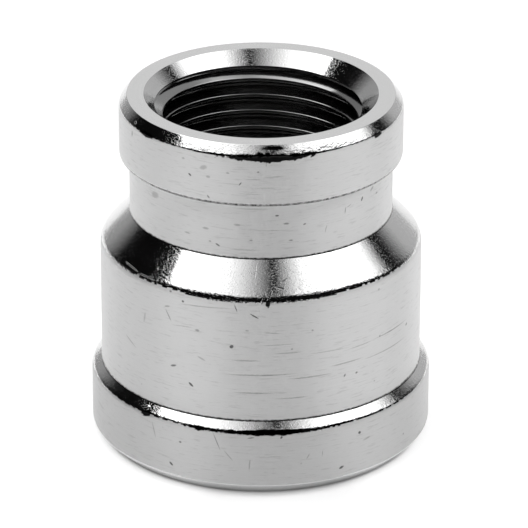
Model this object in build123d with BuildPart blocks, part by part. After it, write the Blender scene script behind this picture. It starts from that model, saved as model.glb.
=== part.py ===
import math
import os

from build123d import *

# Reducing coupling: one piece of plated brass, turned from bar, with a female pipe thread in each end.
# The large socket is down and the small socket is up.
# Origin at the centre of the bottom face, +Z along the axis towards the small socket.
# Lengths are in millimetres and angles in degrees.

# Pipe threads of the 55 degree form. Each socket is bored to its thread's minor diameter.
inch = 25.4
thread_depth_per_pitch = 0.640327
small_thread_major = 16.662
small_threads_per_inch = 19
large_thread_major = 20.955
large_threads_per_inch = 14

# Walls left outside the thread roots, and how far each collar stands out from the wall beside it
neck_wall = 1.77
body_wall = 1.92
small_collar_rim = 0.77
large_collar_rim = 0.77

# Lengths along the axis, from the bottom face up
large_collar_height = 6.1
body_length = 10.0
neck_length = 4.53
small_collar_height = 4.8

# Slopes of the outer cone between body and neck and of the bevel on the large collar, above the horizontal
shoulder_angle = 46.5
collar_bevel_angle = 41.0

# Edges. Those of the collars and the cone are polished round, the foot's edge is just broken, and the tool's
# nose leaves its radius in the inner corners.
bottom_chamfer = 0.95
top_chamfer_width = 0.63
top_chamfer_depth = 0.75
shoulder_round = 1.1
bevel_round = 0.65
top_chamfer_round = 0.4
collar_lip_round = 0.25
broken_edge = 0.1
tool_nose_radius = 0.18

# Inside: the large socket's depth, the cone at its end, and the lead-in at each mouth.
# The lead-ins open a margin past the thread's major diameter, so that the first turn starts inside them.
large_socket_depth = 13.5
inner_shoulder_angle = 45.0
lead_in_margin = 0.63
lead_in_angle = 45.0

# Thread and bore sizes
small_thread_depth = thread_depth_per_pitch * inch / small_threads_per_inch
large_thread_depth = thread_depth_per_pitch * inch / large_threads_per_inch
small_bore_radius = small_thread_major / 2 - small_thread_depth
large_bore_radius = large_thread_major / 2 - large_thread_depth
small_mouth_radius = small_thread_major / 2 + lead_in_margin
large_mouth_radius = large_thread_major / 2 + lead_in_margin

# Outer radii
neck_radius = small_thread_major / 2 + neck_wall
body_radius = large_thread_major / 2 + body_wall
small_collar_radius = neck_radius + small_collar_rim
large_collar_radius = body_radius + large_collar_rim

# Outer heights above the bottom face
bevel_foot_z = large_collar_height - large_collar_rim * math.tan(math.radians(collar_bevel_angle))
shoulder_foot_z = large_collar_height + body_length
shoulder_top_z = shoulder_foot_z + (body_radius - neck_radius) * math.tan(math.radians(shoulder_angle))
small_collar_z = shoulder_top_z + neck_length
overall_height = small_collar_z + small_collar_height

# Inner heights
lead_in_slope = math.tan(math.radians(lead_in_angle))
small_lead_in_depth = (small_mouth_radius - small_bore_radius) * lead_in_slope
large_lead_in_depth = (large_mouth_radius - large_bore_radius) * lead_in_slope
bore_step = large_bore_radius - small_bore_radius
inner_shoulder_top_z = large_socket_depth + bore_step * math.tan(math.radians(inner_shoulder_angle))

# Rounds of the outer section's corners, from the bottom face up. The corner under the small collar is left sharp.
corner_rounds = {
    (large_collar_radius, bottom_chamfer): broken_edge,
    (large_collar_radius, bevel_foot_z): bevel_round,
    (body_radius, large_collar_height): tool_nose_radius,
    (body_radius, shoulder_foot_z): shoulder_round,
    (neck_radius, shoulder_top_z): tool_nose_radius,
    (small_collar_radius, small_collar_z): collar_lip_round,
    (small_collar_radius, overall_height - top_chamfer_depth): top_chamfer_round,
}

with BuildPart() as reducing_coupling:
    # Outside, turned from the bottom face up: large collar, body, cone, neck and small collar
    with BuildSketch(Plane.XZ) as outer_section:
        with BuildLine() as outer_outline:
            Polyline(
                (0, 0),
                (large_collar_radius - bottom_chamfer, 0),
                (large_collar_radius, bottom_chamfer),
                (large_collar_radius, bevel_foot_z),
                (body_radius, large_collar_height),
                (body_radius, shoulder_foot_z),
                (neck_radius, shoulder_top_z),
                (neck_radius, small_collar_z),
                (small_collar_radius, small_collar_z),
                (small_collar_radius, overall_height - top_chamfer_depth),
                (small_collar_radius - top_chamfer_width, overall_height),
                (0, overall_height),
                close=True,
            )
        make_face()
        for corner, radius in corner_rounds.items():
            fillet(outer_section.vertices().sort_by_distance(corner)[0], radius=radius)
    revolve(axis=Axis.Z)

    # Inside, bored through: lead-in, large socket, inner cone, small socket and its lead-in
    with BuildSketch(Plane.XZ) as bore_section:
        with BuildLine() as bore_outline:
            Polyline(
                (0, 0),
                (large_mouth_radius, 0),
                (large_bore_radius, large_lead_in_depth),
                (large_bore_radius, large_socket_depth),
                (small_bore_radius, inner_shoulder_top_z),
                (small_bore_radius, overall_height - small_lead_in_depth),
                (small_mouth_radius, overall_height),
                (0, overall_height),
                close=True,
            )
        make_face()
    revolve(axis=Axis.Z, mode=Mode.SUBTRACT)

reducing_coupling.part.label = "reducing_coupling"

os.makedirs("parts", exist_ok=True)
export_step(reducing_coupling.part, "parts/reducing_coupling.step")
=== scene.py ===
"""Reducing coupling on a pale table: a turned and plated body with a cut pipe thread in each end."""

import logging
import math
from collections.abc import Callable
from dataclasses import dataclass, field, replace
from enum import Enum

import bpy
from mathutils import Matrix, Vector


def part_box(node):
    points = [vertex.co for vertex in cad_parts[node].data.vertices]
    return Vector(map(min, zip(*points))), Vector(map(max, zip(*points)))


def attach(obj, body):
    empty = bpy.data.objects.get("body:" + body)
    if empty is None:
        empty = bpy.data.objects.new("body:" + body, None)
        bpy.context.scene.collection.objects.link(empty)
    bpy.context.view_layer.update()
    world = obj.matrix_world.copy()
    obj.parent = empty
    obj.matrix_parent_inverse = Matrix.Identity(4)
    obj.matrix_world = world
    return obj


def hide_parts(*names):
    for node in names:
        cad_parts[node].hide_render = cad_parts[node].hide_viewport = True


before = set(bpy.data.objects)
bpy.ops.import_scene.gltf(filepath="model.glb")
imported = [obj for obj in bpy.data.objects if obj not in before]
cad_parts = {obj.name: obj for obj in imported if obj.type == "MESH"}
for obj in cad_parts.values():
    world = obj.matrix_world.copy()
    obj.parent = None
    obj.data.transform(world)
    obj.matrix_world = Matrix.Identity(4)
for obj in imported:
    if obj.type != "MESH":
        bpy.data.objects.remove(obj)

log = logging.getLogger("reducing_coupling")

# A value that one node hands to another, that or a plain number, and the two ends of a gradual change
Value = bpy.types.NodeSocket
Number = Value | float
Span = tuple[float, float]

MM = 0.001
NODE = "reducing_coupling"


class Cut(Enum):
    """How a stretch of the turned section was finished, in the order of the body's material slots."""

    BASE = 0
    BODY = 1
    NECK = 2
    COLLAR = 3
    BEVEL = 4
    FACE = 5
    THREAD = 6


class Nodes:
    """A node tree with short calls that add nodes and join them."""

    def __init__(self, tree: bpy.types.NodeTree) -> None:
        """Takes the shader or geometry node tree that the nodes go into."""
        self.tree = tree

    def add(self, kind: str, inputs: dict | None = None, **settings: object) -> bpy.types.Node:
        """Adds one node.

        Args:
            kind: the node's type name.
            inputs: numbers or values by input name or index.
            settings: the node's own properties.

        Returns:
            The new node.
        """
        node = self.tree.nodes.new(kind)
        for name, value in settings.items():
            setattr(node, name, value)
        for name, value in (inputs or {}).items():
            if isinstance(value, Value):
                self.tree.links.new(value, node.inputs[name])
            else:
                node.inputs[name].default_value = value
        return node

    def math(self, operation: str, *values: Number) -> Value:
        """The result of a Math node for one to three numbers or values."""
        return self.add("ShaderNodeMath", dict(enumerate(values)), operation=operation).outputs[0]

    def split(self, vector: Value) -> list[Value]:
        """A vector's three parts."""
        return list(self.add("ShaderNodeSeparateXYZ", {0: vector}).outputs)

    def join(self, x: Number, y: Number, z: Number) -> Value:
        """A vector of three numbers or values."""
        return self.add("ShaderNodeCombineXYZ", {"X": x, "Y": y, "Z": z}).outputs[0]

    def hypot(self, x: Value, y: Value) -> Value:
        """The length of a way with two square parts."""
        return self.math("SQRT", self.math("MULTIPLY_ADD", x, x, self.math("MULTIPLY", y, y)))

    def azimuth(self, x: Value, y: Value) -> Value:
        """The angle round the axis from the front, which is towards minus Y."""
        return self.math("ARCTAN2", x, self.math("MULTIPLY", y, -1.0))

    def blend(self, share: Number, plain: Number, other: Number) -> Value:
        """One number where the share is 0 and another where it is 1."""
        return self.math("MULTIPLY_ADD", share, self.math("SUBTRACT", other, plain), plain)

    def scaled(self, vector: Value, factor: Number) -> Value:
        """A vector times a number."""
        return self.add("ShaderNodeVectorMath", {0: vector, "Scale": factor}, operation="SCALE").outputs[0]

    def stored(self, name: str, kind: str = "FLOAT") -> Value:
        """A named value of the geometry."""
        return self.add("GeometryNodeInputNamedAttribute", {"Name": name}, data_type=kind).outputs[0]

    def above(self, value: Value, limit: float) -> Value:
        """Whether a value is above a limit."""
        inputs = {"A": value, "B": limit}
        return self.add("FunctionNodeCompare", inputs, data_type="FLOAT", operation="GREATER_THAN").outputs[0]

    def ramp(self, value: Value, start: Number, end: Number, low: Number = 0.0, high: Number = 1.0,
             smooth: bool = True) -> Value:
        """A number that goes from one level to another while the value crosses a span.

        Args:
            value: what is mapped.
            start: where the span starts.
            end: where it ends.
            low: the level before it.
            high: the level after it.
            smooth: whether the ends are eased.

        Returns:
            The level.
        """
        inputs = {"Value": value, "From Min": start, "From Max": end, "To Min": low, "To Max": high}
        kind = "SMOOTHSTEP" if smooth else "LINEAR"
        return self.add("ShaderNodeMapRange", inputs, interpolation_type=kind).outputs[0]

    def noise(self, place: Value, scale: float, detail: float = 2.0, roughness: float = 0.55) -> Value:
        """A Noise Texture's value, about 0.5 on average."""
        inputs = {"Vector": place, "Scale": scale, "Detail": detail, "Roughness": roughness}
        return self.add("ShaderNodeTexNoise", inputs).outputs[0]


def emptied(owner: bpy.types.Material | bpy.types.Light | bpy.types.World) -> Nodes:
    """Turns on the nodes of a material, lamp or world, and clears them.

    Args:
        owner: what the nodes belong to.

    Returns:
        Its empty tree.
    """
    owner.use_nodes = True
    owner.node_tree.nodes.clear()
    return Nodes(owner.node_tree)


def placed(name: str, data: bpy.types.ID) -> bpy.types.Object:
    """Puts a mesh, lamp or camera into the scene.

    Args:
        name: the object's name.
        data: what it shows.

    Returns:
        The new object.
    """
    thing = bpy.data.objects.new(name, data)
    bpy.context.scene.collection.objects.link(thing)
    return thing


@dataclass(frozen=True)
class PipeThread:
    """A right-hand pipe thread of the 55 degree form, in metres."""

    major_radius: float
    threads_per_inch: float
    corner_steps: int
    root_steps: int
    depth_per_pitch: float = 0.640327
    root_round_per_pitch: float = 0.137329
    corner_round_per_pitch: float = 0.03
    flank_angle: float = math.radians(27.5)
    flank_margin: float = 0.12

    @property
    def pitch(self) -> float:
        """The rise of one turn."""
        return 25.4 * MM / self.threads_per_inch

    @property
    def minor_radius(self) -> float:
        """The radius at the crests."""
        return self.major_radius - self.depth_per_pitch * self.pitch

    def outline(self) -> list[Span]:
        """One pitch of the thread's section: half a flat crest, a round root and half the next crest.

        Returns:
            Pairs of rise above the crest's middle and radius.
        """
        corner = self.corner_round_per_pitch * self.pitch
        root = self.root_round_per_pitch * self.pitch
        turn = math.pi / 2 - self.flank_angle
        flank_foot = self.pitch / 4 - (self.major_radius - self.minor_radius) / 2 * math.tan(self.flank_angle)
        flat = flank_foot - corner * math.tan(turn / 2)
        crest_angles = [turn * step / self.corner_steps for step in range(self.corner_steps + 1)]
        root_angles = [turn * step / self.root_steps for step in range(self.root_steps, -1, -1)]
        half = [(flat + corner * math.sin(angle), self.minor_radius + corner * (1 - math.cos(angle)))
                for angle in crest_angles]
        roots = [(self.pitch / 2 - root * math.sin(angle), self.major_radius - root * (1 - math.cos(angle)))
                 for angle in root_angles]
        flank_start, flank_end = Vector(half[-1]), Vector(roots[0])
        for share in (self.flank_margin, 1 - self.flank_margin):
            half.append(tuple(flank_start.lerp(flank_end, share)))
        half += roots
        return half + [(self.pitch - rise, radius) for rise, radius in reversed(half[:-1])]


@dataclass(frozen=True)
class Socket:
    """A threaded socket: a lead-in cone at its mouth and a thread that fades out at its end."""

    thread: PipeThread
    mouth_height: float
    mouth_radius: float
    end_height: float
    crest_height: float

    def rows(self) -> list["Row"]:
        """The socket's rows, from the highest down. They climb one pitch a turn, and the tree trims them.

        Returns:
            The rows, evenly repeated each pitch and enough of them to cover the whole socket.
        """
        pitch = self.thread.pitch
        top = max(self.mouth_height, self.end_height) + pitch / 2
        foot = min(self.mouth_height, self.end_height) - pitch / 2
        turns_up = math.ceil((top - self.crest_height) / pitch)
        turns_down = math.floor((foot - self.crest_height) / pitch)
        rows = []
        for turn in range(turns_down, turns_up + 1):
            for rise, radius in self.thread.outline():
                rows.append(Row(radius, self.crest_height + turn * pitch + rise, Cut.THREAD, socket=self))
        rows.sort(key=lambda row: row.height, reverse=True)
        first = max(index for index, row in enumerate(rows) if row.height >= top)
        last = min(index for index, row in enumerate(rows) if row.height <= foot)
        return rows[first : last + 1]


@dataclass
class Row:
    """One row of the turned mesh: a point of the section and what the tree does with it."""

    radius: float
    height: float
    cut: Cut
    wear: float = 0.0
    painted_shade: float = 0.0
    socket: Socket | None = None

    def thread_values(self) -> tuple[float, float, float]:
        """Pitch, bore radius and fade length; a plain row climbs nothing."""
        if self.socket is None:
            return (0.0, 0.0, MM)
        return (self.socket.thread.pitch, self.socket.thread.minor_radius, self.socket.thread.pitch)

    def mouth_values(self) -> tuple[float, float, float]:
        """The lead-in's radius and height and the socket's end; a plain row is never trimmed."""
        if self.socket is None:
            return (0.0, -1.0, 1.0)
        return (self.socket.mouth_radius, self.socket.mouth_height, self.socket.end_height)


@dataclass
class Corner:
    """A corner of the outer section, with its round and the finish of the stretch that leads up to it.

    Wear and painted shade go from nought to one; painted shade darkens a round as the shade in a crease or
    under a lip. The satin share is how much of the round still has the finish of the wall below it.
    """

    radius: float
    height: float
    round: float
    cut: Cut
    wear: float = 0.0
    painted_shade: float = 0.0
    satin: float = 0.0


@dataclass
class Section:
    """The half section that is turned about the axis."""

    corners: list[Corner]
    support: float = 0.05 * MM
    spacing: float = 1.3 * MM
    worn_spacing: float = 0.1 * MM
    worn_reach: float = 0.45 * MM
    polished_spacing: float = 0.45 * MM
    spare_share: float = 0.2
    small_rounds: tuple[tuple[float, int], ...] = ((0.12 * MM, 3), (0.3 * MM, 4))
    round_steps: int = 8
    rows: list[Row] = field(default_factory=list)

    def build(self) -> list[Row]:
        """Rounds the corners and fills the straight stretches with rows.

        Returns:
            The rows, in order along the outline.
        """
        self.rows = [Row(self.corners[0].radius, self.corners[0].height, self.corners[1].cut)]
        for index in range(1, len(self.corners) - 1):
            self.turn_corner(index)
        last = self.corners[-1]
        self.run_to(Vector((last.radius, last.height)), last.cut, self.corners[-2].wear, 0.0)
        return self.rows

    def stations(self, length: float, cut: Cut, start_wear: float, end_wear: float) -> list[float]:
        """Where the rows of a straight stretch lie: close together beside a worn corner, far apart elsewhere.

        Args:
            length: the stretch's length.
            cut: its finish.
            start_wear: wear of the corner that it leaves.
            end_wear: wear of the corner that it runs up to.

        Returns:
            Distances from its start, without both ends.
        """
        reach = min(self.worn_reach, length / 2)
        fine = [self.worn_spacing * step for step in range(1, int(reach / self.worn_spacing) + 1)]
        marks = {self.support, length - self.support}
        if start_wear:
            marks.update(fine)
        if end_wear:
            marks.update(length - distance for distance in fine)
        marks = sorted(mark for mark in marks if 0 < mark < length)
        spacing = self.polished_spacing if cut is Cut.BEVEL else self.spacing
        filled = []
        for before, after in zip(marks, marks[1:]):
            count = max(1, math.ceil((after - before) / spacing - self.spare_share))
            filled += [before + (after - before) * step / count for step in range(count)]
        return filled + [marks[-1]]

    def run_to(self, end: Vector, cut: Cut, start_wear: float, end_wear: float) -> None:
        """Adds rows along a straight stretch.

        Args:
            end: where the stretch ends.
            cut: its finish.
            start_wear: wear of the corner that it leaves.
            end_wear: wear of the corner that it runs up to.
        """
        start = Vector((self.rows[-1].radius, self.rows[-1].height))
        length = (end - start).length
        if length > 3 * self.support:
            for distance in self.stations(length, cut, start_wear, end_wear):
                near_start = start_wear * max(0.0, 1 - distance / self.worn_reach)
                near_end = end_wear * max(0.0, 1 - (length - distance) / self.worn_reach)
                at = start.lerp(end, distance / length)
                self.rows.append(Row(at.x, at.y, cut, wear=max(near_start, near_end)))
        self.rows.append(Row(end.x, end.y, cut, wear=end_wear))

    def turn_corner(self, index: int) -> None:
        """Adds the stretch up to a corner and the corner's round.

        Args:
            index: the corner's place in the outline.
        """
        before, corner, after = self.corners[index - 1 : index + 2]
        at = Vector((corner.radius, corner.height))
        into = (at - Vector((before.radius, before.height))).normalized()
        out = (Vector((after.radius, after.height)) - at).normalized()
        turn = into.angle_signed(out)
        tangent = corner.round * math.tan(abs(turn) / 2)
        self.run_to(at - into * tangent, corner.cut, before.wear, corner.wear)
        side = Vector((into.y, -into.x)) * math.copysign(1.0, turn)
        centre = at - into * tangent + side * corner.round
        spoke = -side * corner.round
        cut = Cut.BEVEL if Cut.BEVEL in (corner.cut, after.cut) else corner.cut
        # The corner's painted shade, standing in for the shade in a crease or under a lip, darkens the row
        # before the round and the round itself
        self.rows[-1].painted_shade = corner.painted_shade
        steps = next((steps for limit, steps in self.small_rounds if corner.round < limit), self.round_steps)
        for step in range(1, steps + 1):
            swing = Matrix.Rotation(-turn * step / steps, 2)
            point = centre + swing @ spoke
            finish = corner.cut if step <= corner.satin * steps else cut
            self.rows.append(Row(point.x, point.y, finish, wear=corner.wear, painted_shade=corner.painted_shade))


@dataclass(frozen=True)
class Dent:
    """A dent knocked into an edge, in millimetres. Its azimuth is in degrees round from the front."""

    azimuth: float
    height: float
    half_width: float
    half_height: float
    depth: float


# Where a mark's slope starts and ends, in squares of the way from its middle to its edge
MARK_SPAN: Span = (0.1, 1.2)


@dataclass(frozen=True)
class Mark:
    """A pit or scratch in the plate, in degrees and millimetres. Its tilt is in degrees, anticlockwise."""

    azimuth: float
    height: float
    half_length: float
    half_width: float
    tilt: float
    depth: float

    def cut(self, nodes: Nodes, point: Value, wall_radius: float) -> Value:
        """How deep this mark cuts at each point of the unrolled surface.

        Args:
            nodes: the material's tree.
            point: the way round, the height and one, in millimetres.
            wall_radius: the wall's radius here, in millimetres.

        Returns:
            The depth, in metres.
        """
        around = math.radians(self.azimuth) * wall_radius
        cos, sin = math.cos(math.radians(self.tilt)), math.sin(math.radians(self.tilt))
        along = (cos / self.half_length, sin / self.half_length,
                 -(around * cos + self.height * sin) / self.half_length)
        across = (-sin / self.half_width, cos / self.half_width,
                  (around * sin - self.height * cos) / self.half_width)
        squares = 0.0
        for way in (along, across):
            product = nodes.add("ShaderNodeVectorMath", {0: point, 1: way}, operation="DOT_PRODUCT")
            share = product.outputs["Value"]
            squares = nodes.math("MULTIPLY_ADD", share, share, squares)
        return nodes.ramp(squares, *MARK_SPAN, self.depth * MM, 0.0)


def marks(*rows: tuple[float, ...]) -> tuple[Mark, ...]:
    """Marks from rows of azimuth, height, half length, half width, tilt and depth."""
    return tuple(Mark(*row) for row in rows)


# Small collar
COLLAR_MARKS = marks(
    (-63, 26.45, 0.28, 0.06, 88, 0.02), (-40, 23.3, 0.12, 0.05, 60, 0.01),
    (-29, 25.1, 0.17, 0.08, -40, 0.022), (-32, 26.3, 0.15, 0.1, 0, 0.006), (-23, 25.9, 0.35, 0.2, 20, 0.006),
    (-21, 25.2, 0.2, 0.12, 0, 0.006), (-21, 23.6, 0.18, 0.07, -50, 0.012), (-13, 25.7, 0.15, 0.08, 0, 0.007),
    (-8, 24.9, 0.2, 0.06, 55, 0.014), (-1, 25.9, 0.1, 0.06, 0, 0.012), (-2.5, 25.3, 0.9, 0.05, -2, 0.004),
    (2, 24.6, 1.2, 0.04, 1, 0.004), (-4, 24.1, 1, 0.05, 0, 0.004), (6, 25.5, 0.9, 0.04, 2, 0.004),
    (-43, 23.1, 0.12, 0.08, 0, 0.02), (-17, 23.08, 0.14, 0.1, 30, 0.02), (-9, 23.08, 0.18, 0.12, -30, 0.025),
)

# Neck
NECK_MARKS = marks(
    (-52, 22, 0.5, 0.3, 10, 0.006), (-24, 20.6, 0.3, 0.12, 0, 0.007), (-33, 19.9, 0.3, 0.08, 0, 0.007),
    (-18.5, 19.4, 0.22, 0.08, -30, 0.014), (-22, 19.6, 0.12, 0.08, 0, 0.008), (-4, 20, 0.16, 0.07, 0, 0.01),
    (-10, 21.2, 0.3, 0.1, 0, 0.006), (7, 22, 0.16, 0.08, 0, 0.018), (11, 21.3, 0.26, 0.08, 0, 0.01),
    (13, 19.9, 0.2, 0.07, 0, 0.01), (19, 21.1, 0.14, 0.07, 20, 0.012), (39, 21.5, 0.3, 0.05, 80, 0.009),
    (41, 21.75, 0.3, 0.05, 20, 0.007), (49, 21.9, 0.2, 0.09, 65, 0.022), (56, 22.3, 0.3, 0.12, 30, 0.008),
    (60, 21.7, 0.16, 0.08, 0, 0.008), (29, 20.4, 0.35, 0.05, 75, 0.006), (-3, 22.55, 1.5, 0.06, 0, 0.005),
    (4, 20.8, 1.3, 0.05, 0, 0.004), (-7, 19.2, 1.2, 0.06, 0, 0.005),
)

# Body
BODY_MARKS = marks(
    (-2, 14.8, 0.42, 0.06, -32, 0.02), (-8.5, 15.4, 0.35, 0.05, -70, 0.014),
    (-19, 15.25, 2.2, 0.05, 3, 0.006), (-33, 15.9, 0.12, 0.1, 0, 0.012), (-28, 15.35, 0.12, 0.1, 0, 0.016),
    (-34.5, 14.6, 0.3, 0.07, 15, 0.009), (-34, 13.9, 0.55, 0.06, -60, 0.009),
    (-22.5, 13.2, 0.2, 0.12, 0, 0.009), (-27.5, 13.3, 0.8, 0.05, 4, 0.005),
    (-4.5, 13.6, 0.16, 0.08, 0, 0.008), (-10, 12.2, 0.17, 0.14, 30, 0.028), (-32, 9.8, 0.32, 0.1, 20, 0.014),
    (-25, 8.55, 0.26, 0.1, -40, 0.022), (-21, 10.9, 0.4, 0.08, -25, 0.006),
    (-53, 10.4, 0.8, 0.06, -25, 0.007), (-45, 13, 0.5, 0.1, 80, 0.005), (31, 9.05, 0.16, 0.08, 60, 0.012),
    (36, 9, 0.12, 0.1, 0, 0.014), (64, 10.9, 0.16, 0.1, 50, 0.014), (54, 11.3, 2.4, 0.05, 0.5, 0.009),
    (38, 11.2, 1.3, 0.05, 2, 0.006), (24, 11.4, 1.6, 0.05, -1, 0.005), (52, 9.9, 2.6, 0.05, 0, 0.008),
    (32, 10.1, 1.6, 0.06, 0, 0.007), (18, 9.5, 1.8, 0.07, 0, 0.007), (0, 9.9, 3, 0.05, 0.5, 0.008),
    (-5, 11.1, 1.2, 0.06, 0, 0.007), (6, 12.4, 1.6, 0.05, 1, 0.005), (10, 11.7, 1.2, 0.08, 0, 0.005),
    (-2, 8.4, 1.8, 0.07, 0, 0.006), (11, 7.9, 1.4, 0.06, 0, 0.006), (4, 13.4, 0.8, 0.05, -4, 0.006),
)

# Large collar
BASE_MARKS = marks(
    (-14.5, 4.5, 0.85, 0.05, -68, 0.009), (-10.5, 3.4, 0.6, 0.05, -50, 0.006),
    (-38, 4.3, 0.7, 0.07, -75, 0.006), (-3.5, 2.7, 0.5, 0.05, 86, 0.007), (-27.5, 3.9, 0.14, 0.1, 0, 0.012),
    (-31, 1.85, 0.22, 0.1, -40, 0.018), (-3, 5, 0.3, 0.07, 10, 0.012), (7, 5, 0.14, 0.1, 70, 0.018),
    (35, 4.3, 0.14, 0.13, 0, 0.02), (38, 3.6, 0.4, 0.1, 10, 0.005), (28, 1.75, 0.24, 0.12, 20, 0.018),
    (16, 3.2, 0.3, 0.05, 60, 0.006), (21, 3.3, 0.3, 0.04, 85, 0.006), (3, 3.4, 1.2, 0.05, 0, 0.004),
)

# Cone, bevel and top chamfer; the last two are burrs that stand up beside a dent
POLISHED_MARKS = marks(
    (-54, 16.42, 1.1, 0.05, -4, 0.016), (-45, 16.3, 1.1, 0.05, 0, 0.016), (9, 17.2, 0.3, 0.06, 30, 0.008),
    (7, 16.8, 0.35, 0.06, -10, 0.009), (-2, 17.7, 0.5, 0.05, 80, 0.006), (-41, 17, 0.3, 0.07, 10, 0.01),
    (-61, 27.35, 0.15, 0.1, 0, 0.02), (-43, 5.75, 0.45, 0.08, 12, -0.02),
    (-3.5, 26.95, 0.3, 0.07, -30, -0.02),
)

# Two cuts across the cone's foot, in both finishes
SLASHES = marks(
    (1, 16.15, 0.45, 0.07, 70, 0.03), (3, 16.2, 0.5, 0.07, 62, 0.03),
)

# Top chamfer, bevel and the cone's foot
DENTS = (
    Dent(3.0, 27.03, 4.6, 0.36, 0.055),
    Dent(4.0, 27.0, 2.0, 0.4, 0.05),
    Dent(5.0, 27.62, 1.2, 0.14, 0.04),
    Dent(-42.0, 5.4, 0.5, 0.28, 0.08),
    Dent(2.0, 5.42, 4.4, 0.3, 0.045),
    Dent(-52.0, 27.1, 1.3, 0.3, 0.03),
    Dent(54.0, 27.05, 0.9, 0.26, 0.03),
    Dent(-21.0, 5.35, 0.5, 0.22, 0.04),
    Dent(2.5, 15.85, 0.3, 0.4, 0.04),
)


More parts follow.
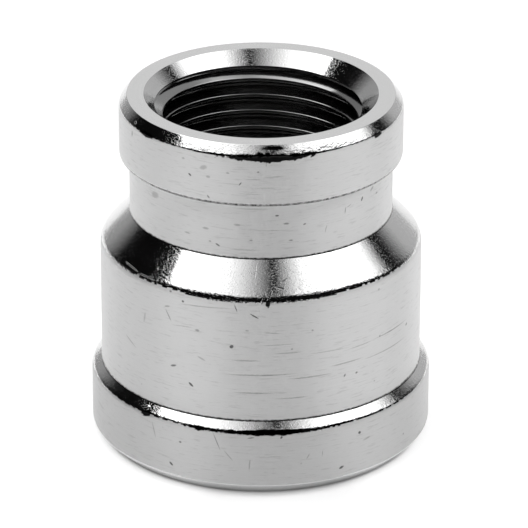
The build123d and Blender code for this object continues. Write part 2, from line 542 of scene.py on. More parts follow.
@dataclass(frozen=True)
class PlateFinish:
    """One finish of the bright nickel plate over brass, with lengths in metres.

    A span says between which heights of a noise something sets in, and levels are shares of the plain value.
    """

    name: str
    colour: float
    roughness: float
    anisotropy: float
    line_depth: float
    ripple_width: float
    ripple_height: float
    ripple_depth: float
    wear_depth: float
    marks: tuple[Mark, ...] = ()
    line_spacing: float = 0.05 * MM
    line_length: float = 4.0 * MM
    dash_span: Span = (0.56, 0.72)
    dash_depth: float = 0.0
    speck_span: Span = (0.5, 0.72)
    speck_depth: float = 0.0
    pit_spacing: float = 2.2 * MM
    pit_radius: float = 0.13 * MM
    pit_depth: float = 0.012 * MM
    ragged: float = 0.06 * MM
    ragged_scale: float = 9000.0
    grain_scale: float = 6500.0
    grain_squash: float = 2.0
    chip_scale: float = 4500.0
    shade_noise_scale: float = 4000.0
    shade_noise_share: float = 0.6
    tone_span: Span = (0.2, 0.8)
    tone_levels: Span = (0.96, 1.03)
    rough_span: Span = (0.3, 0.7)
    rough_levels: Span = (0.85, 1.15)
    cut_shade_depth: float = 0.016 * MM
    cut_shade_level: float = 0.25
    painted_shade_span: Span = (0.55, 0.85)
    painted_shade_level: float = 0.02

    def mark_depth(self, nodes: Nodes, place: Value, radius_at: Callable[[float], float]) -> Value:
        """How deep the marks cut at each point.

        Args:
            nodes: the material's tree.
            place: the point, in object space.
            radius_at: gives the wall's radius at a height.

        Returns:
            The depth, in metres.
        """
        x, y, z = nodes.split(nodes.scaled(place, 1 / MM))
        maths = nodes.math
        ragged = nodes.noise(place, self.ragged_scale, 1.0)
        shift = maths("MULTIPLY", ragged, self.ragged / MM)
        around = maths("MULTIPLY_ADD", nodes.azimuth(x, y), nodes.hypot(x, y), shift)
        point = nodes.join(around, maths("SUBTRACT", z, shift), 1.0)
        total = 0.0
        for mark in self.marks:
            depth = mark.cut(nodes, point, radius_at(mark.height * MM) / MM)
            total = maths("ADD", total, depth)
        return total

    def build(self, radius_at: Callable[[float], float]) -> bpy.types.Material:
        """Makes the material.

        Args:
            radius_at: gives the wall's radius at a height.

        Returns:
            A metal with turning lines, ripple, pits, scratches and worn edges, with painted shade in its
            marks, dents and creases.
        """
        material = bpy.data.materials.new(self.name)
        nodes = emptied(material)
        maths = nodes.math
        place = nodes.add("ShaderNodeTexCoord").outputs["Object"]
        x, y, z = nodes.split(place)
        run = nodes.split(nodes.add("ShaderNodeUVMap", uv_map="UVMap").outputs[0])[0]
        worn, shade_share = (nodes.add("ShaderNodeAttribute", attribute_name=name).outputs["Fac"]
                        for name in ("wear", "painted_shade"))

        # Turning lines run round the axis, and the plate's ripple is longer round it than along it
        lines, ripple = (
            nodes.noise(nodes.join(maths("DIVIDE", x, around), maths("DIVIDE", y, around),
                                   maths("DIVIDE", way, along)), 1.0, detail, 0.6)
            for around, way, along, detail in (
                (self.line_length, run, self.line_spacing / MM, 3.0),
                (self.ripple_width, z, self.ripple_height, 2.0)))
        squashed = nodes.join(x, y, maths("MULTIPLY", z, self.grain_squash))
        grain = nodes.noise(squashed, self.grain_scale, 2.0, 0.6)
        chips = maths("MULTIPLY", worn, nodes.noise(place, self.chip_scale, 2.0, 0.6))

        # A few small pits stand all over the plate, beside the marks that are set one by one
        cells = nodes.add("ShaderNodeTexVoronoi", {"Vector": place, "Scale": 1 / self.pit_spacing}).outputs[0]
        cuts = nodes.ramp(cells, 0.0, self.pit_radius / self.pit_spacing, self.pit_depth, 0.0)
        if self.marks:
            cuts = maths("ADD", cuts, self.mark_depth(nodes, place, radius_at))
        cuts = maths("ADD", cuts, nodes.ramp(ripple, *self.dash_span, 0.0, self.dash_depth))

        height = maths("MULTIPLY", lines, self.line_depth)
        height = maths("MULTIPLY_ADD", ripple, self.ripple_depth, height)
        height = maths("MULTIPLY_ADD", chips, self.wear_depth, height)
        height = maths("ADD", height, nodes.ramp(grain, *self.speck_span, 0.0, self.speck_depth))
        height = maths("SUBTRACT", height, cuts)
        bumped = nodes.add("ShaderNodeBump", {"Height": height, "Distance": 1.0, "Strength": 1.0}).outputs[0]

        tones = (self.colour * level for level in self.tone_levels)
        tone = nodes.ramp(lines, *self.tone_span, *tones, smooth=False)
        # Painted shade: pits, scratches and dashes are darkened by their depth, as the shade in a hollow
        cut_shade = nodes.ramp(cuts, 0.0, self.cut_shade_depth, 1.0, self.cut_shade_level, smooth=False)
        # Painted shade: rounds and dents that carry it go nearly black, with an edge made ragged by noise
        painted_shade = maths("MULTIPLY_ADD", nodes.noise(place, self.shade_noise_scale, 3.0, 0.65), self.shade_noise_share, shade_share)
        painted_shade = nodes.ramp(painted_shade, *self.painted_shade_span, 1.0, self.painted_shade_level, smooth=False)
        tone = maths("MULTIPLY", tone, maths("MULTIPLY", cut_shade, painted_shade))
        colour = nodes.add("ShaderNodeCombineColor", {0: tone, 1: tone, 2: tone}).outputs[0]
        roughs = (self.roughness * level for level in self.rough_levels)
        rough = nodes.ramp(grain, *self.rough_span, *roughs, smooth=False)
        tangent = nodes.add("ShaderNodeTangent", direction_type="UV_MAP", uv_map="UVMap").outputs[0]
        shader = nodes.add("ShaderNodeBsdfPrincipled", {
            "Base Color": colour, "Metallic": 1.0, "Roughness": rough, "Anisotropic": self.anisotropy,
            "Normal": bumped, "Tangent": tangent,
        })
        nodes.add("ShaderNodeOutputMaterial", {"Surface": shader.outputs[0]})
        return material


def plate_finishes() -> dict[Cut, PlateFinish]:
    """The plate's finishes.

    Returns:
        A finish for each cut, in slot order.
    """
    satin = PlateFinish(
        "satin", colour=0.7, roughness=0.42, anisotropy=0.94, line_depth=0.0006 * MM,
        ripple_width=1.3 * MM, ripple_height=0.14 * MM, ripple_depth=0.0005 * MM, dash_depth=0.0028 * MM,
        wear_depth=0.01 * MM)
    return {
        # The large collar's colour is set below the other satin walls: painted shade, for the darker floor
        # near the foot that it reflects
        Cut.BASE: replace(satin, name="shaded_satin_large_collar", colour=0.63, marks=BASE_MARKS),
        Cut.BODY: replace(satin, name="satin_body", marks=BODY_MARKS + SLASHES),
        Cut.NECK: replace(satin, name="satin_neck", marks=NECK_MARKS),
        Cut.COLLAR: replace(satin, name="satin_small_collar", marks=COLLAR_MARKS),
        Cut.BEVEL: PlateFinish(
            "polished_plate", colour=0.64, roughness=0.08, anisotropy=0.3, line_depth=0.0003 * MM,
            ripple_width=0.5 * MM, ripple_height=0.12 * MM, ripple_depth=0.004 * MM, wear_depth=0.015 * MM,
            speck_depth=0.003 * MM, marks=POLISHED_MARKS + SLASHES, pit_spacing=0.45 * MM,
            pit_radius=0.06 * MM, pit_depth=0.005 * MM),
        Cut.FACE: PlateFinish(
            "faced_plate", colour=0.555, roughness=0.24, anisotropy=0.3, line_depth=0.0003 * MM,
            ripple_width=0.8 * MM, ripple_height=0.5 * MM, ripple_depth=0.001 * MM, wear_depth=0.01 * MM),
        # The threads' colour is set far below the rest of the plate: painted shade for the dark inside of the
        # bore
        Cut.THREAD: PlateFinish(
            "shaded_thread_plate", colour=0.3, roughness=0.12, anisotropy=0.2, line_depth=0.0004 * MM,
            ripple_width=0.5 * MM, ripple_height=0.3 * MM, ripple_depth=0.004 * MM, wear_depth=0.01 * MM),
    }


class TurningTree:
    """The Geometry Nodes tree that turns a section about the axis, with helical rows where it is threaded."""

    kept_span: Span = (math.radians(16), math.radians(36))
    patch_shares: Span = (40.0, 0.4)
    crisp_bend: float = math.radians(33)
    weld: float = 0.001 * MM
    noise_span: Span = (0.3, 0.7)
    outline_scale: float = 2200.0
    outline_levels: Span = (0.7, 1.5)
    uneven_scale: float = 3000.0
    uneven_levels: Span = (0.75, 1.25)
    rub_scale: float = 3200.0

    def __init__(self, settings: dict[str, float]) -> None:
        """Makes a tree with its inputs and output.

        Args:
            settings: a value for each input; whole numbers get a whole-number input.
        """
        self.tree = bpy.data.node_groups.new("turn_section", "GeometryNodeTree")
        self.tree.is_modifier = True
        self.nodes = Nodes(self.tree)
        self.identifiers: dict[str, str] = {}
        interface = self.tree.interface
        interface.new_socket("Section", in_out="INPUT", socket_type="NodeSocketGeometry")
        for name, value in settings.items():
            kind = "NodeSocketInt" if isinstance(value, int) else "NodeSocketFloat"
            self.identifiers[name] = interface.new_socket(name, in_out="INPUT", socket_type=kind).identifier
        interface.new_socket("Body", in_out="OUTPUT", socket_type="NodeSocketGeometry")
        self.source = self.nodes.add("NodeGroupInput").outputs

    def sampled(self, name: str, index: Value, kind: str = "FLOAT") -> Value:
        """A value of the section's point that a grid row stands for.

        Args:
            name: the value's name on the section.
            index: the row's number.
            kind: its data type.

        Returns:
            The value.
        """
        value = self.nodes.stored(name, kind)
        inputs = {"Geometry": self.source["Section"], "Value": value, "Index": index}
        return self.nodes.add("GeometryNodeSampleIndex", inputs, data_type=kind, clamp=True).outputs[0]

    def store(self, body: Value, name: str, value: Value, domain: str = "POINT",
              kind: str = "FLOAT") -> Value:
        """The geometry with a named value stored on it."""
        inputs = {"Geometry": body, "Name": name, "Value": value}
        return self.nodes.add("GeometryNodeStoreNamedAttribute", inputs, data_type=kind,
                              domain=domain).outputs[0]

    def lie(self, row: Value, turns: Value) -> dict[str, Value]:
        """Where a row lies at some way round: a threaded row climbs one pitch a turn and stays in its socket.

        Args:
            row: the row's number.
            turns: how far round, in turns.

        Returns:
            Its height, its own radius, the lead-in cone's radius there, its pitch, and how far it is cut past
            the cone.
        """
        maths, nodes = self.nodes.math, self.nodes
        radius, _, own_height = nodes.split(self.sampled("position", row, "FLOAT_VECTOR"))
        pitch, bore, fade = nodes.split(self.sampled("thread", row, "FLOAT_VECTOR"))
        mouth_radius, mouth, end = nodes.split(self.sampled("mouth", row, "FLOAT_VECTOR"))
        climbed = maths("MULTIPLY_ADD", pitch, turns, own_height)
        height = maths("MAXIMUM", climbed, maths("MINIMUM", mouth, end))
        height = maths("MINIMUM", height, maths("MAXIMUM", mouth, end))
        depth = nodes.ramp(maths("ABSOLUTE", maths("SUBTRACT", height, end)), 0.0, fade)
        cut = nodes.blend(depth, bore, radius)
        cone = maths("SUBTRACT", mouth_radius, maths("ABSOLUTE", maths("SUBTRACT", height, mouth)))
        past = maths("SUBTRACT", cut, cone)
        return {"height": height, "cut": cut, "cone": cone, "pitch": pitch, "past": past}

    def meet(self, here: dict[str, Value], there: dict[str, Value]) -> tuple[Value, Value, Value]:
        """Where the thread's flank between two rows comes out of the lead-in cone.

        Args:
            here: how this row lies; it is on the cone.
            there: how a row beside it lies.

        Returns:
            Whether they meet there, and the height and radius where they do.
        """
        maths = self.nodes.math
        share = maths("DIVIDE", here["past"], maths("SUBTRACT", here["past"], there["past"]))
        meets = maths("GREATER_THAN", maths("MULTIPLY", here["pitch"], there["pitch"]), 0.0)
        meets = maths("MULTIPLY", meets, maths("LESS_THAN", here["past"], 0.0))
        meets = maths("MULTIPLY", meets, maths("GREATER_THAN", there["past"], 0.0))
        height, radius = (self.nodes.blend(share, here[part], there[part]) for part in ("height", "cone"))
        return meets, height, radius

    def finish_of(self, level: Value, lap: Value, angle: Value) -> Value:
        """The finish of each strip: at a worn edge the polish starts higher in some places, lowest in front.

        Args:
            level: how far down the rows.
            lap: the way round, evenly spaced.
            angle: the way round, as it is turned.

        Returns:
            The cut's number.
        """
        nodes, maths = self.nodes, self.nodes.math
        strip = maths("CEIL", level)
        around, along = (maths("MULTIPLY", *pair) for pair in zip((lap, level), self.patch_shares))
        patch = nodes.noise(nodes.join(around, along, 0.0), 1.0)
        stray = maths("MULTIPLY", maths("SUBTRACT", patch, 0.5), self.source["Polish Stray"])
        kept = nodes.ramp(maths("ABSOLUTE", angle), *self.kept_span, 0.0, self.source["Kept Satin"])
        stray = maths("SUBTRACT", maths("MINIMUM", stray, 0.0), kept)
        stray = maths("ROUND", maths("MULTIPLY", stray, self.sampled("wear", strip)))
        return self.sampled("cut", maths("ADD", strip, stray))

    def build(self, materials: dict[Cut, bpy.types.Material], dents: tuple[Dent, ...]) -> bpy.types.NodeTree:
        """Adds the nodes.

        Args:
            materials: a material for each cut.
            dents: the dents in the edges.

        Returns:
            The finished tree.
        """
        nodes, maths = self.nodes, self.nodes.math
        section = nodes.add("GeometryNodeAttributeDomainSize", {0: self.source["Section"]}, component="MESH")
        rows = section.outputs["Point Count"]
        grid = nodes.add("GeometryNodeMeshGrid", {
            "Size X": 1.0, "Size Y": 1.0, "Vertices X": maths("ADD", self.source["Columns"], 1.0),
            "Vertices Y": rows})
        across, up, _ = nodes.split(nodes.add("GeometryNodeInputPosition").outputs[0])
        level = maths("MULTIPLY", maths("ADD", up, 0.5), maths("SUBTRACT", rows, 1.0))
        row = maths("ROUND", level)

        # Angle round the axis from the front, with the columns closer together there
        lap = maths("MULTIPLY", across, math.tau)
        angle = maths("SUBTRACT", lap, maths("MULTIPLY", maths("SINE", lap), self.source["Crowding"]))
        turns = maths("DIVIDE", angle, math.tau)
        body = self.store(grid.outputs["Mesh"], "cut", self.finish_of(level, lap, angle), "FACE")

        # A row on the lead-in cone moves to the lip where a flank beside it comes out of the cone
        here = self.lie(row, turns)
        height, radius, on_lip = here["height"], maths("MAXIMUM", here["cut"], here["cone"]), 0.0
        for step in (-1.0, 1.0):
            meets, lip_height, lip_radius = self.meet(here, self.lie(maths("ADD", row, step), turns))
            height = nodes.blend(meets, height, lip_height)
            radius = nodes.blend(meets, radius, lip_radius)
            on_lip = maths("MAXIMUM", on_lip, meets)
        on_cone = maths("MULTIPLY_ADD", on_lip, -0.5, maths("LESS_THAN", here["past"], 0.0))
        on_cone = maths("MULTIPLY", on_cone, maths("GREATER_THAN", here["pitch"], 0.0))

        back = maths("MULTIPLY", maths("COSINE", angle), -1.0)
        x, y = (maths("MULTIPLY", radius, way) for way in (maths("SINE", angle), back))
        turned = nodes.join(x, y, height)
        unwrapped = nodes.join(self.sampled("run", row), turns, 0.0)
        body = self.store(body, "UVMap", unwrapped, "CORNER", "FLOAT2")
        body = self.store(body, "cone", on_cone)
        for name in ("wear", "painted_shade"):
            body = self.store(body, name, self.sampled(name, row))
        body = nodes.add("GeometryNodeSetPosition", {"Geometry": body, "Position": turned}).outputs[0]
        body = nodes.add("GeometryNodeMergeByDistance", {"Geometry": body, "Distance": self.weld}).outputs[0]
        body = self.knock(body, dents)

        # Smooth, but crisp where the surface turns sharply
        bend = nodes.add("GeometryNodeInputMeshEdgeAngle").outputs["Unsigned Angle"]
        sharp = nodes.above(bend, self.crisp_bend)
        body = nodes.add("GeometryNodeSetShadeSmooth", {"Geometry": body}, domain="FACE").outputs[0]
        body = nodes.add("GeometryNodeSetShadeSmooth", {
            "Geometry": body, "Selection": sharp, "Shade Smooth": False}, domain="EDGE").outputs[0]
        body = nodes.add("GeometryNodeRealizeInstances", {"Geometry": body}).outputs[0]

        # Each cut's own material takes over from the one before it, and the lead-in cones are polished
        cut, cone = nodes.stored("cut"), nodes.stored("cone")
        choices = [(cut, kind.value - 0.5, material) for kind, material in materials.items()]
        for value, limit, material in choices + [(cone, 0.5, materials[Cut.BEVEL])]:
            body = nodes.add("GeometryNodeSetMaterial", {
                "Geometry": body, "Selection": nodes.above(value, limit), "Material": material}).outputs[0]
        nodes.add("NodeGroupOutput", {"Body": body})
        return self.tree

    def knock(self, body: Value, dents: tuple[Dent, ...]) -> Value:
        """Pushes the dents and the ragged wear of the edges into the surface.

        Args:
            body: the turned geometry.
            dents: the dents.

        Returns:
            The worn geometry.
        """
        nodes, maths = self.nodes, self.nodes.math
        place = nodes.add("GeometryNodeInputPosition").outputs[0]
        x, y, z = nodes.split(place)
        angle, radius = nodes.azimuth(x, y), nodes.hypot(x, y)
        outline = nodes.noise(place, self.outline_scale, 3.0, 0.65)
        outline = nodes.ramp(outline, *self.noise_span, *self.outline_levels, smooth=False)
        uneven = nodes.noise(place, self.uneven_scale, 2.0, 0.6)
        uneven = nodes.ramp(uneven, *self.noise_span, *self.uneven_levels, smooth=False)
        depth = 0.0
        for dent in dents:
            around = maths("MULTIPLY", maths("SUBTRACT", angle, math.radians(dent.azimuth)), radius)
            across = maths("DIVIDE", around, dent.half_width * MM)
            up = maths("DIVIDE", maths("SUBTRACT", z, dent.height * MM), dent.half_height * MM)
            distance = maths("MULTIPLY", nodes.hypot(across, up), outline)
            depth = maths("ADD", depth, nodes.ramp(distance, 0.0, 1.0, dent.depth * MM, 0.0))
        # Dents are darkened with painted shade for the dark reflection in them, fully so from this depth on
        shade_share = nodes.ramp(depth, 0.0, self.source["Painted Shade Depth"], smooth=False)
        body = self.store(body, "painted_shade", maths("MAXIMUM", nodes.stored("painted_shade"), shade_share))
        rubbed = maths("MULTIPLY", nodes.stored("wear"), self.source["Edge Wear"])
        rubbed = maths("MULTIPLY", rubbed, nodes.noise(place, self.rub_scale, 3.0, 0.65))
        depth = maths("MULTIPLY_ADD", depth, uneven, rubbed)
        inward = nodes.scaled(nodes.add("GeometryNodeInputNormal").outputs[0], maths("MULTIPLY", depth, -1.0))
        return nodes.add("GeometryNodeSetPosition", {"Geometry": body, "Offset": inward}).outputs[0]


@dataclass
class CouplingBody:
    """The coupling itself: outer section, two threaded sockets and the cone between them, in metres."""

    large_collar_height: float = 6.1 * MM
    body_length: float = 10.0 * MM
    neck_length: float = 4.53 * MM
    body_wall: float = 1.92 * MM
    neck_wall: float = 1.77 * MM
    shoulder_slope: float = math.radians(46.5)
    bevel_slope: float = math.radians(41.0)
    bottom_chamfer: float = 0.95 * MM
    top_chamfer_width: float = 0.63 * MM
    top_chamfer_depth: float = 0.75 * MM
    shoulder_round: float = 1.1 * MM
    bevel_round: float = 0.65 * MM
    top_chamfer_round: float = 0.4 * MM
    collar_lip_round: float = 0.25 * MM
    broken_edge: float = 0.1 * MM
    face_edge_round: float = 0.05 * MM
    tool_nose_radius: float = 0.18 * MM
    lead_in_margin: float = 0.63 * MM
    large_socket_depth: float = 13.5 * MM
    first_crest_below_top: float = 2.03 * MM
    edge_wear: float = 0.03 * MM
    polish_stray: float = 6.0
    kept_satin: float = 2.4
    painted_shade_depth: float = 0.02 * MM
    columns: int = 240
    crowding: float = 0.55
    small_thread: PipeThread = PipeThread(8.331 * MM, 19, corner_steps=2, root_steps=3)
    large_thread: PipeThread = PipeThread(10.4775 * MM, 14, corner_steps=1, root_steps=2)

    def sizes(self) -> tuple[float, float, float, float, float]:
        """Works out the main sizes.

        Returns:
            The radii of large collar, body and neck, and the heights of the cone's foot and top.
        """
        body = self.large_thread.major_radius + self.body_wall
        neck = self.small_thread.major_radius + self.neck_wall
        shoulder_foot = self.large_collar_height + self.body_length
        shoulder_top = shoulder_foot + (body - neck) * math.tan(self.shoulder_slope)
        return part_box(NODE)[1].x, body, neck, shoulder_foot, shoulder_top

    def wall_radius(self, height: float) -> float:
        """The outer radius at a height, without the rounds.

        Args:
            height: height above the bottom face.

        Returns:
            The radius of the large collar, body, cone, neck or small collar.
        """
        collar, body, neck, shoulder_foot, shoulder_top = self.sizes()
        if height < self.large_collar_height:
            return min(collar, body + (self.large_collar_height - height) / math.tan(self.bevel_slope))
        if height < shoulder_top:
            return body - max(0.0, height - shoulder_foot) / math.tan(self.shoulder_slope)
        return neck if height < shoulder_top + self.neck_length else neck + collar - body

    def rows(self) -> list[Row]:
        """The whole section as rows, from the large socket's mouth round the outside and back down the bore.

        Returns:
            The rows, the last one on the first.
        """
        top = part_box(NODE)[1].z
        collar, body, neck, shoulder_foot, shoulder_top = self.sizes()
        rim = collar - body
        small_collar = neck + rim
        bevel_foot = self.large_collar_height - rim * math.tan(self.bevel_slope)
        collar_foot = shoulder_top + self.neck_length
        large_mouth = self.large_thread.major_radius + self.lead_in_margin
        small_mouth = self.small_thread.major_radius + self.lead_in_margin
        # Painted shade darkens the rounds at the body's foot, the neck's foot, the neck under the small
        # collar and that collar's lip, where shade falls in the creases and under the lip
        outside = Section([
            Corner(large_mouth, 0.0, 0.0, Cut.FACE),
            Corner(collar - self.bottom_chamfer, 0.0, self.face_edge_round, Cut.FACE),
            Corner(collar, self.bottom_chamfer, self.broken_edge, Cut.BEVEL, wear=0.3),
            Corner(collar, bevel_foot, self.bevel_round, Cut.BASE, wear=1.0, satin=0.25),
            Corner(body, self.large_collar_height, self.tool_nose_radius, Cut.BEVEL, painted_shade=0.45),
            Corner(body, shoulder_foot, self.shoulder_round, Cut.BODY, wear=1.0, satin=0.27),
            Corner(neck, shoulder_top, self.tool_nose_radius, Cut.BEVEL, painted_shade=0.45),
            Corner(neck, collar_foot, self.face_edge_round, Cut.NECK, painted_shade=0.3),
            Corner(small_collar, collar_foot, self.collar_lip_round, Cut.FACE, wear=0.4, painted_shade=0.45),
            Corner(small_collar, top - self.top_chamfer_depth, self.top_chamfer_round, Cut.COLLAR, wear=1.0,
                   satin=0.25),
            Corner(small_collar - self.top_chamfer_width, top, self.face_edge_round, Cut.BEVEL, wear=0.2),
            Corner(small_mouth, top, 0.0, Cut.FACE),
        ]).build()
        bore_step = self.large_thread.minor_radius - self.small_thread.minor_radius
        small_end = self.large_socket_depth + bore_step
        small = Socket(self.small_thread, top, small_mouth, small_end,
                       crest_height=top - self.first_crest_below_top - self.small_thread.pitch / 2)
        large = Socket(self.large_thread, 0.0, large_mouth, self.large_socket_depth, crest_height=0.0)
        step = [Row(self.small_thread.minor_radius, small_end, Cut.FACE),
                Row(self.large_thread.minor_radius, self.large_socket_depth, Cut.FACE)]
        return outside + small.rows() + step + large.rows() + [Row(large_mouth, 0.0, Cut.FACE)]

    def section_object(self) -> bpy.types.Object:
        """Makes the section as a line of points that carries each row's values.

        Returns:
            The object, for the turning tree to work on.
        """
        rows = self.rows()
        mesh = bpy.data.meshes.new("coupling_section")
        points = [(row.radius, 0.0, row.height) for row in rows]
        mesh.from_pydata(points, [(index, index + 1) for index in range(len(rows) - 1)], [])
        run = [0.0]
        for before, after in zip(points, points[1:]):
            run.append(run[-1] + math.dist(before, after) / MM)
        values = {
            "thread": ("FLOAT_VECTOR", "vector", [number for row in rows for number in row.thread_values()]),
            "mouth": ("FLOAT_VECTOR", "vector", [number for row in rows for number in row.mouth_values()]),
            "wear": ("FLOAT", "value", [row.wear for row in rows]),
            "painted_shade": ("FLOAT", "value", [row.painted_shade for row in rows]),
            "run": ("FLOAT", "value", run),
            "cut": ("FLOAT", "value", [float(row.cut.value) for row in rows]),
        }
        for name, (kind, key, numbers) in values.items():
            mesh.attributes.new(name, kind, "POINT").data.foreach_set(key, numbers)
        return placed("coupling_section", mesh)

    def build(self) -> bpy.types.Object:
        """Turns the section into the body's closed mesh.

        Returns:
            The finished piece.
        """
        materials = {cut: finish.build(self.wall_radius) for cut, finish in plate_finishes().items()}
        settings = {
            "Columns": self.columns, "Crowding": self.crowding, "Edge Wear": self.edge_wear,
            "Polish Stray": self.polish_stray, "Kept Satin": self.kept_satin,
            "Painted Shade Depth": self.painted_shade_depth,
        }
        turning = TurningTree(settings)
        section = self.section_object()
        modifier = section.modifiers.new("turning", "NODES")
        modifier.node_group = turning.build(materials, DENTS)
        for name, value in settings.items():
            modifier[turning.identifiers[name]] = value
        graph = bpy.context.evaluated_depsgraph_get()
        mesh = bpy.data.meshes.new_from_object(section.evaluated_get(graph))
        mesh.name = "coupling_body"
        section.modifiers.remove(modifier)
        bpy.data.objects.remove(section)
        return placed("coupling_body", mesh)


@dataclass(frozen=True)
class SoftBox:
    """A soft-edged lamp that lies flat overhead and faces down.

    Its edges are in shares of its height above the table, each as where the light ends and where it is full:
    near and far along its azimuth, and left and right of that way. One more straight edge cuts it off along
    an azimuth of its own. Azimuths go round from the front to the right, in degrees.
    """

    name: str
    azimuth: float
    near: Span
    far: Span
    left: Span
    right: Span
    cut_azimuth: float
    cut: Span
    radiance: float
    height: float = 0.6

    def build(self) -> None:
        """Adds the lamp."""
        length, width = self.far[0] - self.near[0], self.right[0] - self.left[0]
        lamp = bpy.data.lights.new(self.name, "AREA")
        lamp.shape = "RECTANGLE"
        lamp.size = length * self.height
        lamp.size_y = width * self.height
        lamp.energy = self.radiance * math.pi * lamp.size * lamp.size_y
        nodes = emptied(lamp)
        maths = nodes.math
        out, side, _ = nodes.split(nodes.add("ShaderNodeNewGeometry").outputs["Parametric"])
        out = maths("MULTIPLY_ADD", out, length, self.near[0])
        side = maths("MULTIPLY_ADD", side, width, self.left[0])
        swing = math.radians(self.cut_azimuth - self.azimuth)
        slant = maths("MULTIPLY", out, math.cos(swing))
        slant = maths("MULTIPLY_ADD", side, math.sin(swing), slant)
        level = 1.0
        edges = ((out, self.near), (out, self.far), (side, self.left), (side, self.right), (slant, self.cut))
        for place, (end, full) in edges:
            levels = (0.0, 1.0) if end < full else (1.0, 0.0)
            edge = nodes.ramp(place, min(end, full), max(end, full), *levels, smooth=False)
            level = maths("MULTIPLY", level, edge)
        glow = nodes.add("ShaderNodeEmission", {"Strength": level})
        nodes.add("ShaderNodeOutputLight", {"Surface": glow.outputs[0]})
        holder = placed(self.name, lamp)
        turn = Matrix.Rotation(math.radians(self.azimuth - 90), 4, "Z")
        middle = Vector(((self.near[0] + self.far[0]) / 2, (self.left[0] + self.right[0]) / 2, 1.0))
        holder.matrix_world = Matrix.Translation(turn @ (middle * self.height)) @ turn
        holder.visible_camera = False


@dataclass(frozen=True)
class DarkTent:
    """Black cards all round, for the metal to reflect, open behind, overhead and low down at the sides.

    The camera doesn't see the tent, and it stops no light.
    """

    radius: float = 2.2
    shade: float = 0.004
    back_window: Span = (0.88, 0.97)
    side_windows: Span = (0.54, 0.74)
    side_lean: float = 0.06
    side_change: Span = (-0.5, 0.5)
    side_levels: Span = (0.4, 0.6)
    roof_window: Span = (0.80, 0.88)
    roof_front: Span = (-0.2, -0.05)
    roof_level: float = 0.9
    low_sides: Span = (-0.6, 0.2)
    low_height: Span = (0.14, 0.03)
    low_level: float = 0.55
    rings: int = 12
    segments: int = 48

    def build(self) -> None:
        """Adds the tent."""
        points = [(0.0, 0.0, self.radius)]
        faces = []
        for ring in range(1, self.rings + 1):
            rise = math.pi / 2 * (1 - ring / self.rings)
            for segment in range(self.segments):
                way = math.tau * segment / self.segments
                flat = self.radius * math.cos(rise)
                points.append((flat * math.cos(way), flat * math.sin(way), self.radius * math.sin(rise)))
        for segment in range(self.segments):
            beside = (segment + 1) % self.segments
            faces.append((0, 1 + segment, 1 + beside))
            for ring in range(self.rings - 1):
                first = 1 + ring * self.segments
                faces.append((first + segment, first + self.segments + segment,
                              first + self.segments + beside, first + beside))
        mesh = bpy.data.meshes.new("dark_tent")
        mesh.from_pydata(points, [], faces)
        mesh.materials.append(self.material())
        tent = placed("dark_tent", mesh)
        tent.visible_camera = False
        tent.visible_diffuse = False
        tent.visible_shadow = False

    def material(self) -> bpy.types.Material:
        """Makes the tent's material.

        Returns:
            Black where the cards hang, and clear in the windows.
        """
        material = bpy.data.materials.new("dark_tent")
        nodes = emptied(material)
        maths = nodes.math
        place = nodes.add("ShaderNodeTexCoord").outputs["Object"]
        x, y, z = nodes.split(nodes.add("ShaderNodeVectorMath", {0: place}, operation="NORMALIZE").outputs[0])
        flat = nodes.hypot(x, y)
        behind, beside = maths("DIVIDE", y, flat), maths("DIVIDE", x, flat)
        leaning = maths("MULTIPLY_ADD", beside, self.side_lean, behind)
        sides = maths("MULTIPLY", nodes.ramp(beside, *self.side_change, *self.side_levels),
                           nodes.ramp(leaning, *self.side_windows, smooth=False))
        back = maths("MAXIMUM", sides, nodes.ramp(behind, *self.back_window))
        roof = maths("MULTIPLY", nodes.ramp(z, *self.roof_window, 0.0, self.roof_level),
                          nodes.ramp(maths("DIVIDE", y, z), *self.roof_front))
        low = maths("MULTIPLY", nodes.ramp(behind, *self.low_sides),
                         nodes.ramp(z, self.low_height[1], self.low_height[0], self.low_level, 0.0))
        open_share = maths("MAXIMUM", maths("MAXIMUM", back, roof), low)
        card = nodes.add("ShaderNodeEmission", {"Color": (self.shade, self.shade, self.shade, 1.0)})
        clear = nodes.add("ShaderNodeBsdfTransparent")
        mixed = nodes.add("ShaderNodeMixShader", {
            0: open_share, 1: card.outputs[0], 2: clear.outputs[0]})
        nodes.add("ShaderNodeOutputMaterial", {"Surface": mixed.outputs[0]})
        return material


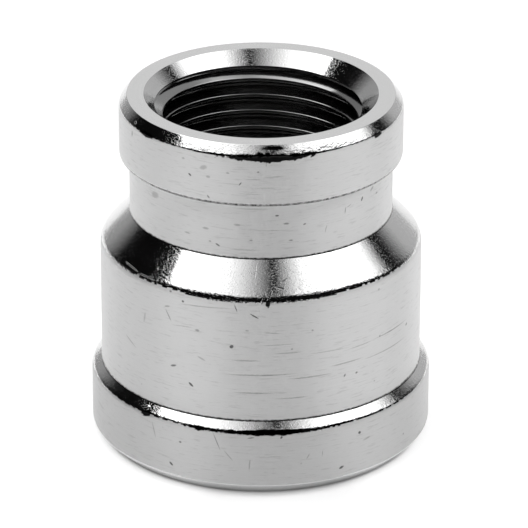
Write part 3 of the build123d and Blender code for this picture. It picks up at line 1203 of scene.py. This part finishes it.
@dataclass
class Studio:
    """Table, lamps, dark tent, surroundings and camera."""

    table_size: float = 6.0
    table_colour: float = 0.92
    table_glow: Span = (0.24, 0.26)
    glow_reach: Span = (0.02, 0.35)
    side_glow: float = 0.15
    side_reach: Span = (0.3, 0.6)
    side_lean: float = 0.1
    foot_shade: Span = (12.1 * MM, 12.7 * MM)
    room_fill: float = 0.38
    lamps: tuple[SoftBox, ...] = (
        SoftBox("soft_box_left", -33.2, near=(-0.5, -0.2), far=(0.89, 0.8), left=(-0.78, -0.75),
                right=(0.6, 0.5), cut_azimuth=90.0, cut=(0.12, -0.8), radiance=3.2),
        SoftBox("soft_box_right", 90.0, near=(0.15, 0.66), far=(2.3, 2.0), left=(-1.3, -1.2),
                right=(0.62, 0.0), cut_azimuth=32.5, cut=(0.85, 0.77), radiance=2.85, height=0.63),
    )
    camera_elevation: float = 24.64
    camera_distance: float = 0.33904
    camera_aim_height: float = 13.46 * MM
    camera_roll: float = 0.1
    frame_pixels: float = 528.0
    focal_pixels: float = 4377.0
    axis_pixel: float = 260.85
    sensor_width: float = 36.0
    clip_range: Span = (0.01, 20.0)

    def table(self) -> None:
        """Adds the pale table top."""
        half = self.table_size / 2
        mesh = bpy.data.meshes.new("table_top")
        corners = [(-half, -half, 0), (half, -half, 0), (half, half, 0), (-half, half, 0)]
        mesh.from_pydata(corners, [], [(0, 1, 2, 3)])
        material = bpy.data.materials.new("table_white")
        nodes = emptied(material)
        maths = nodes.math
        shade = (self.table_colour, self.table_colour, self.table_colour, 1.0)
        matt = nodes.add("ShaderNodeBsdfDiffuse", {"Color": shade})
        place = nodes.add("ShaderNodeTexCoord").outputs["Object"]
        distance = nodes.add("ShaderNodeVectorMath", {0: place}, operation="LENGTH").outputs["Value"]
        # The glow, seen straight and mirrored, is painted light, a little weaker near the coupling than far
        # off
        level = nodes.ramp(distance, *self.glow_reach, *self.table_glow)

        # The glow is painted light, whiter at both sides than in front, with a painted shadow in full under
        # the coupling's foot
        sideways = maths("DIVIDE", nodes.split(place)[0], distance)
        sideways = maths("ABSOLUTE", maths("SUBTRACT", sideways, self.side_lean))
        level = maths("ADD", level, nodes.ramp(sideways, *self.side_reach, 0.0, self.side_glow))
        level = maths("MULTIPLY", level, nodes.ramp(distance, *self.foot_shade))
        glow = nodes.add("ShaderNodeEmission", {"Strength": maths("MULTIPLY", self.seen(nodes), level)})
        both = nodes.add("ShaderNodeAddShader", {0: matt.outputs[0], 1: glow.outputs[0]})
        nodes.add("ShaderNodeOutputMaterial", {"Surface": both.outputs[0]})
        mesh.materials.append(material)
        placed("table_top", mesh)

    def seen(self, nodes: Nodes) -> Value:
        """Tells what the camera sees, straight or mirrored, from what lights the object.

        Args:
            nodes: a material's or the world's tree.

        Returns:
            One for what is seen, and nought for the rest.
        """
        path = nodes.add("ShaderNodeLightPath").outputs
        mirrored = nodes.math("MAXIMUM", path["Is Glossy Ray"], path["Is Transmission Ray"])
        return nodes.math("MAXIMUM", path["Is Camera Ray"], mirrored)

    def surroundings(self) -> None:
        """White surroundings, for the camera and for what the metal reflects, and a weaker fill light."""
        world = bpy.data.worlds.new("white_room")
        bpy.context.scene.world = world
        nodes = emptied(world)
        level = nodes.ramp(self.seen(nodes), 0.0, 1.0, self.room_fill, 1.0, smooth=False)
        background = nodes.add("ShaderNodeBackground", {"Color": (1.0, 1.0, 1.0, 1.0), "Strength": level})
        nodes.add("ShaderNodeOutputWorld", {"Surface": background.outputs[0]})

    def camera(self) -> None:
        """Adds the long-lens camera at the photograph's angle."""
        lens = bpy.data.cameras.new("camera")
        lens.sensor_width = self.sensor_width
        lens.lens = self.focal_pixels / self.frame_pixels * lens.sensor_width
        lens.shift_x = (self.frame_pixels / 2 - self.axis_pixel) / self.frame_pixels
        lens.clip_start, lens.clip_end = self.clip_range
        camera = placed("camera", lens)
        rise = math.radians(self.camera_elevation)
        aim = Vector((0.0, 0.0, self.camera_aim_height))
        back = Vector((0.0, -math.cos(rise), math.sin(rise)))
        camera.location = aim + back * self.camera_distance
        upright = (-back).to_track_quat("-Z", "Y").to_matrix()
        roll = Matrix.Rotation(math.radians(self.camera_roll), 3, "Z")
        camera.rotation_euler = (upright @ roll).to_euler()
        bpy.context.scene.camera = camera
        bpy.context.scene.view_settings.view_transform = "Standard"

    def build(self) -> None:
        """Sets up the whole studio."""
        self.table()
        self.surroundings()
        DarkTent().build()
        for lamp in self.lamps:
            lamp.build()
        self.camera()


def main() -> None:
    """Builds the coupling and the studio, and reports each piece."""
    logging.basicConfig(level=logging.INFO, format="%(name)s: %(message)s")
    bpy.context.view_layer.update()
    body = CouplingBody().build()
    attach(body, "root")
    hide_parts(NODE)
    log.info("%s: %d triangles", body.name, sum(len(face.vertices) - 2 for face in body.data.polygons))
    Studio().build()


if __name__ == "__main__":
    main()
